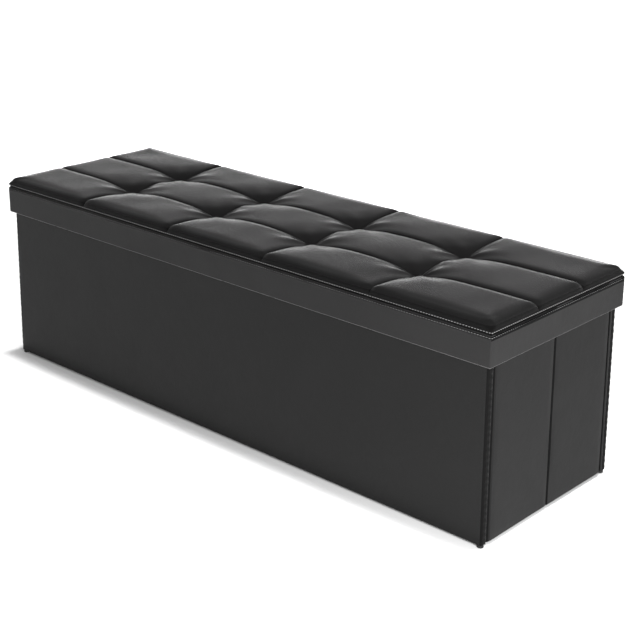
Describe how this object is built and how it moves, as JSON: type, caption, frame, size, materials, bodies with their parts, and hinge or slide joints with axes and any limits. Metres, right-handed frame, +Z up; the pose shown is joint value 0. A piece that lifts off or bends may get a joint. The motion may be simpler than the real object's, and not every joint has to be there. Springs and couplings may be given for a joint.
{
  "type": "folding storage ottoman bench",
  "caption": "Long upholstered storage bench with a lift-off tufted seat lid, bi-fold end walls and a flip-up bottom panel, so that the empty box folds flat.",
  "frame": {"origin": "on the floor under the middle of the closed bench", "axes": "+X along the length, to the right of someone facing the front; +Y to the back, so the front is at -Y; +Z up"},
  "size_m": [1.2, 0.38, 0.38],
  "materials": {
    "leatherette": "satin",
    "lining": "matte",
    "board": "matte",
    "hardboard": "matte",
    "foam": "matte",
    "webbing": "matte",
    "plastic": "matte",
    "steel": "satin",
    "thread": "matte",
    "fibre": "matte"
  },
  "bodies": {
    "front_wall": {"front_board": "board", "front_cover": "leatherette", "front_lining": "lining", "corner_hinge_front_left": "leatherette", "corner_hinge_front_right": "leatherette", "front_glides": "plastic", "bottom_hinge": "lining"},
    "back_wall": {"back_board": "board", "back_cover": "leatherette", "back_lining": "lining", "corner_hinge_back_left": "leatherette", "corner_hinge_back_right": "leatherette", "back_glides": "plastic"},
    "left_front_half": {"left_front_board": "board", "left_front_cover": "leatherette", "left_front_lining": "lining"},
    "left_rear_half": {"left_rear_board": "board", "left_rear_cover": "leatherette", "left_rear_lining": "lining"},
    "right_front_half": {"right_front_board": "board", "right_front_cover": "leatherette", "right_front_lining": "lining"},
    "right_rear_half": {"right_rear_board": "board", "right_rear_cover": "leatherette", "right_rear_lining": "lining"},
    "bottom": {"bottom_board": "hardboard", "bottom_cover": "lining", "pull_ribbon": "webbing"},
    "lid": {"lid_board": "board", "lid_lining": "lining", "seat_foam": "foam", "seat_cover": "leatherette", "skirt_board_front": "board", "skirt_board_back": "board", "skirt_board_left": "board", "skirt_board_right": "board", "skirt_cover_front": "leatherette", "skirt_cover_back": "leatherette", "skirt_cover_left": "leatherette", "skirt_cover_right": "leatherette", "skirt_nails": "steel", "skirt_staples": "steel", "tuft_ties": "thread", "tuft_washers": "fibre"}
  },
  "joints": [
    {"name": "left_front_fold", "type": "hinge", "parent": "front_wall", "child": "left_front_half", "pos_m": [-0.5795, -0.1625, 0.172], "axis": [0, 0, -1], "range_deg": [0, 86]},
    {"name": "left_crease_fold", "type": "hinge", "parent": "left_front_half", "child": "left_rear_half", "pos_m": [-0.5915, 0, 0.172], "axis": [0, 0, 1], "range_deg": [0, 172]},
    {"name": "left_rear_fold", "type": "hinge", "parent": "left_rear_half", "child": "back_wall", "pos_m": [-0.5795, 0.1625, 0.172], "axis": [0, 0, -1], "range_deg": [0, 86]},
    {"name": "right_front_fold", "type": "hinge", "parent": "front_wall", "child": "right_front_half", "pos_m": [0.5795, -0.1625, 0.172], "axis": [0, 0, 1], "range_deg": [0, 86]},
    {"name": "right_crease_fold", "type": "hinge", "parent": "right_front_half", "child": "right_rear_half", "pos_m": [0.5915, 0, 0.172], "axis": [0, 0, -1], "range_deg": [0, 172]},
    {"name": "bottom_flip", "type": "hinge", "parent": "front_wall", "child": "bottom", "pos_m": [0, -0.1685, 0.0038], "axis": [1, 0, 0], "range_deg": [0, 90]},
    {"name": "lid_lift", "type": "slide", "parent": "front_wall", "child": "lid", "axis": [0, 0, 1], "range_m": [0, 0.2]}
  ],
  "couplings": [
    {"joint": "left_crease_fold", "follows": "left_front_fold", "ratio": 2},
    {"joint": "left_rear_fold", "follows": "left_front_fold", "ratio": 1},
    {"joint": "right_front_fold", "follows": "left_front_fold", "ratio": 1},
    {"joint": "right_crease_fold", "follows": "left_front_fold", "ratio": 2}
  ]
}
